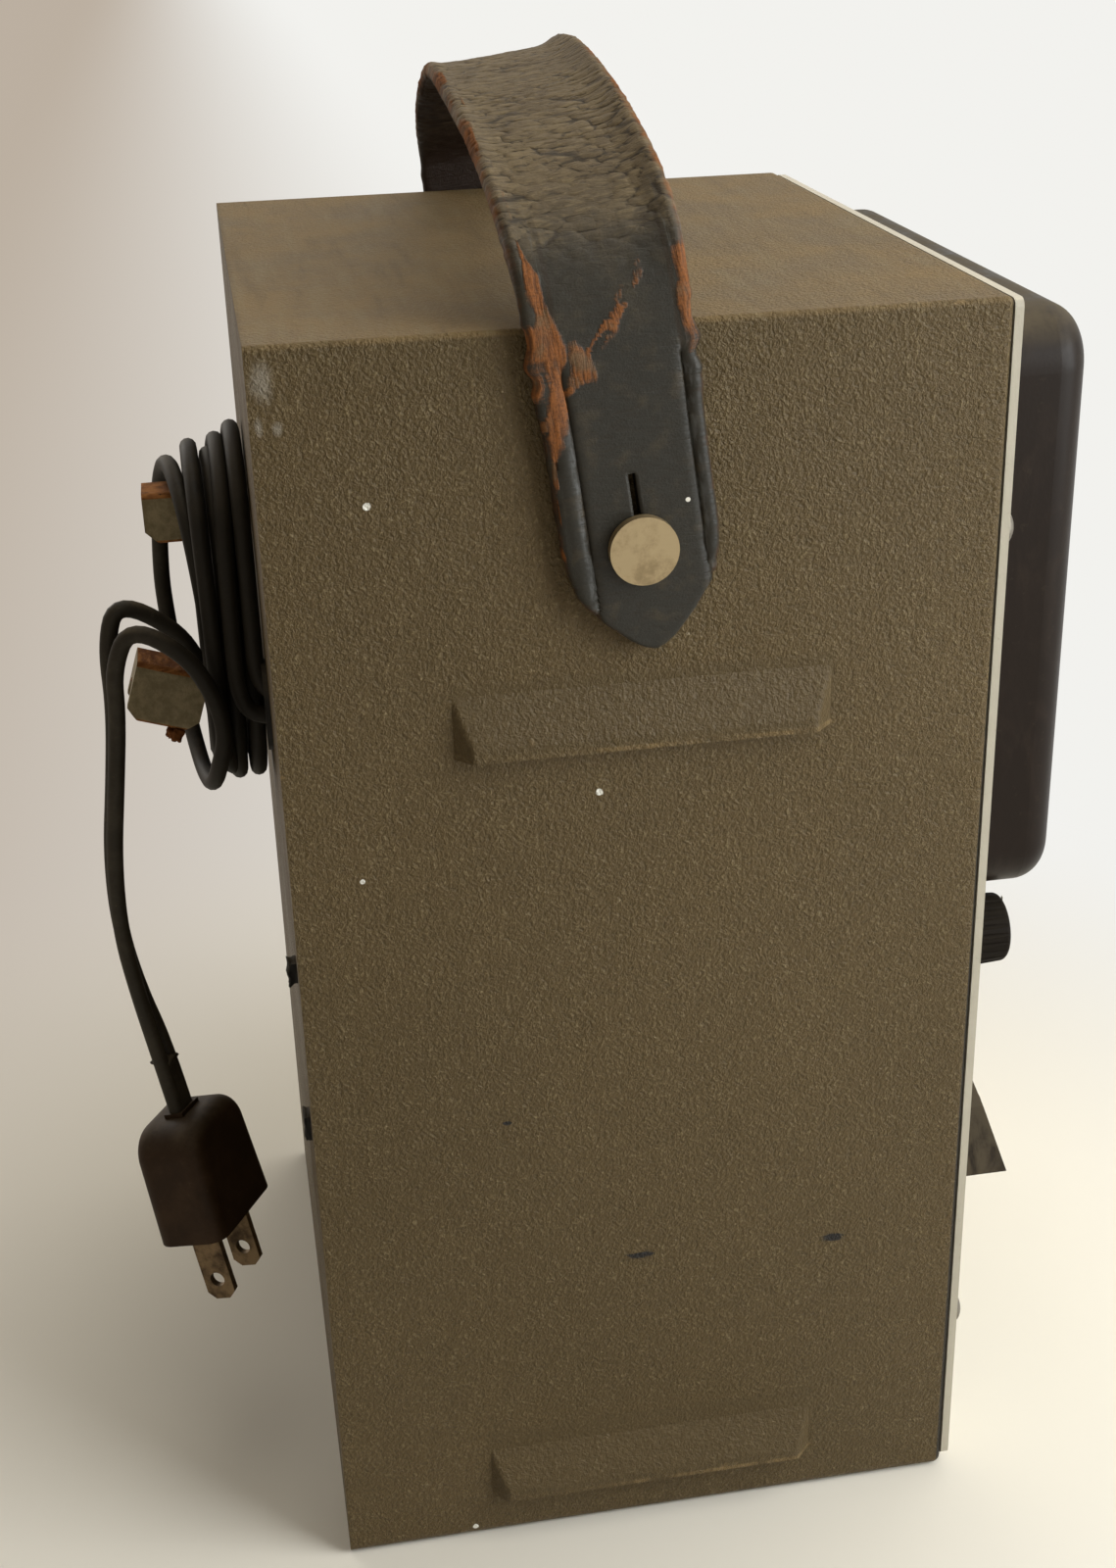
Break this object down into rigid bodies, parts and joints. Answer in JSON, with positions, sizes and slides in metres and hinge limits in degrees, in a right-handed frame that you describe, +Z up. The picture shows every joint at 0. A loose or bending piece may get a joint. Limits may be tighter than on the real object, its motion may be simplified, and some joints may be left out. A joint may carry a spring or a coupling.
{
  "type": "tube tester",
  "caption": "Upright portable tube tester: louvred steel case, strap handle, panel meter, selector knobs, tube sockets and a mains cord wound on rear cleats.",
  "frame": {"origin": "centre of the flat underside of the case, on the surface that it stands on", "axes": "+Z up; the front panel faces -Y, the cord cleats +Y, and the case's left side, which the picture shows, -X"},
  "size_m": [0.1512, 0.1757, 0.2741],
  "materials": {
    "case_enamel": "hammertone enamel",
    "panel_enamel": "satin enamel, worn edge",
    "bakelite": "polished, dusty",
    "clear_glass": "clear",
    "dial_card": "printed card",
    "nickel": "dull nickel",
    "steel": "plated",
    "magnet_steel": "dark",
    "brass": "tarnished",
    "copper_winding": "varnished",
    "core_iron": "laminated",
    "pointer_black": "matt black",
    "phenolic": "brown laminate",
    "socket_black": "moulded",
    "chrome": "polished",
    "red_jewel": "faceted",
    "red_button": "moulded",
    "chassis_aluminium": "etched",
    "strap_leather": "cracked and worn",
    "cleat_fibre": "grey enamel over brown fibre",
    "cord_rubber": "aged rubber",
    "plug_rubber": "moulded",
    "grommet_rubber": "moulded"
  },
  "bodies": {
    "case": {"case_wrap": "case_enamel", "rear_panel": "case_enamel", "front_panel": "panel_enamel", "panel_screws": "nickel", "meter_cover": "bakelite", "meter_base": "bakelite", "meter_glass": "clear_glass", "meter_dial": "dial_card", "meter_magnet": "magnet_steel", "meter_bridge": "brass", "meter_terminals": "brass", "left_control": "steel", "right_control": "steel", "left_selector_switch": "phenolic", "right_selector_switch": "phenolic", "bushing_nuts": "nickel", "octal_socket": "socket_black", "loctal_socket": "socket_black", "noval_socket": "socket_black", "miniature_socket": "socket_black", "socket_screws": "nickel", "socket_contacts": "brass", "pilot_bezel": "chrome", "pilot_jewel": "red_jewel", "pilot_lampholder": "steel", "test_switch": "steel", "toggle_switch": "steel", "chassis_plate": "chassis_aluminium", "chassis_pillars": "steel", "chassis_screws": "nickel", "transformer_core": "core_iron", "transformer_winding": "copper_winding", "transformer_bolts": "steel", "strap_studs": "nickel", "stud_nuts": "steel", "upper_cleat": "cleat_fibre", "lower_cleat": "cleat_fibre", "cleat_posts": "steel", "cleat_screws": "steel", "cord_grommet": "grommet_rubber", "cord_coil_first": "cord_rubber", "cord_coil_second": "cord_rubber", "cord_tail_first": "cord_rubber", "cord_tail_second": "cord_rubber", "plug_body": "plug_rubber", "plug_blades": "brass"},
    "handle": {"handle_strap": "strap_leather"},
    "meter_movement": {"meter_coil": "copper_winding", "meter_pointer": "pointer_black"},
    "zero_adjuster": {"zero_screw": "bakelite"},
    "left_control_set": {"left_control_shaft": "brass", "left_control_knob": "bakelite"},
    "right_control_set": {"right_control_shaft": "brass", "right_control_knob": "bakelite"},
    "left_selector_set": {"left_selector_shaft": "steel", "left_selector_knob": "bakelite"},
    "right_selector_set": {"right_selector_shaft": "steel", "right_selector_knob": "bakelite"},
    "test_plunger": {"test_button": "red_button"},
    "power_lever": {"toggle_lever": "chrome"}
  },
  "joints": [
    {"name": "strap_swing", "type": "hinge", "parent": "case", "child": "handle", "pos_m": [0, 0.0008, 0.203], "axis": [1, 0, 0], "range_deg": [-15, 30]},
    {"name": "pointer_swing", "type": "hinge", "parent": "case", "child": "meter_movement", "pos_m": [0, -0.062, 0.154], "axis": [0, 1, 0], "range_deg": [0, 84], "stiffness_Nm_per_rad": 0.001},
    {"name": "zero_adjust", "type": "hinge", "parent": "case", "child": "zero_adjuster", "pos_m": [0, -0.078, 0.146], "axis": [0, 1, 0], "continuous": true},
    {"name": "left_control_turn", "type": "hinge", "parent": "case", "child": "left_control_set", "pos_m": [-0.05, -0.062, 0.1135], "axis": [0, 1, 0], "range_deg": [-150, 150]},
    {"name": "left_selector_turn", "type": "hinge", "parent": "case", "child": "left_selector_set", "pos_m": [-0.045, -0.062, 0.069], "axis": [0, 1, 0], "range_deg": [-150, 150]},
    {"name": "right_control_turn", "type": "hinge", "parent": "case", "child": "right_control_set", "pos_m": [0.05, -0.062, 0.1135], "axis": [0, 1, 0], "range_deg": [-150, 150]},
    {"name": "right_selector_turn", "type": "hinge", "parent": "case", "child": "right_selector_set", "pos_m": [0.045, -0.062, 0.069], "axis": [0, 1, 0], "range_deg": [-150, 150]},
    {"name": "test_press", "type": "slide", "parent": "case", "child": "test_plunger", "axis": [0, 1, 0], "range_m": [0, 0.003], "stiffness_N_per_m": 200, "springref_m": -0.001},
    {"name": "power_toggle", "type": "hinge", "parent": "case", "child": "power_lever", "pos_m": [0.026, -0.062, 0.022], "axis": [-1, 0, 0], "range_deg": [0, 24]}
  ]
}
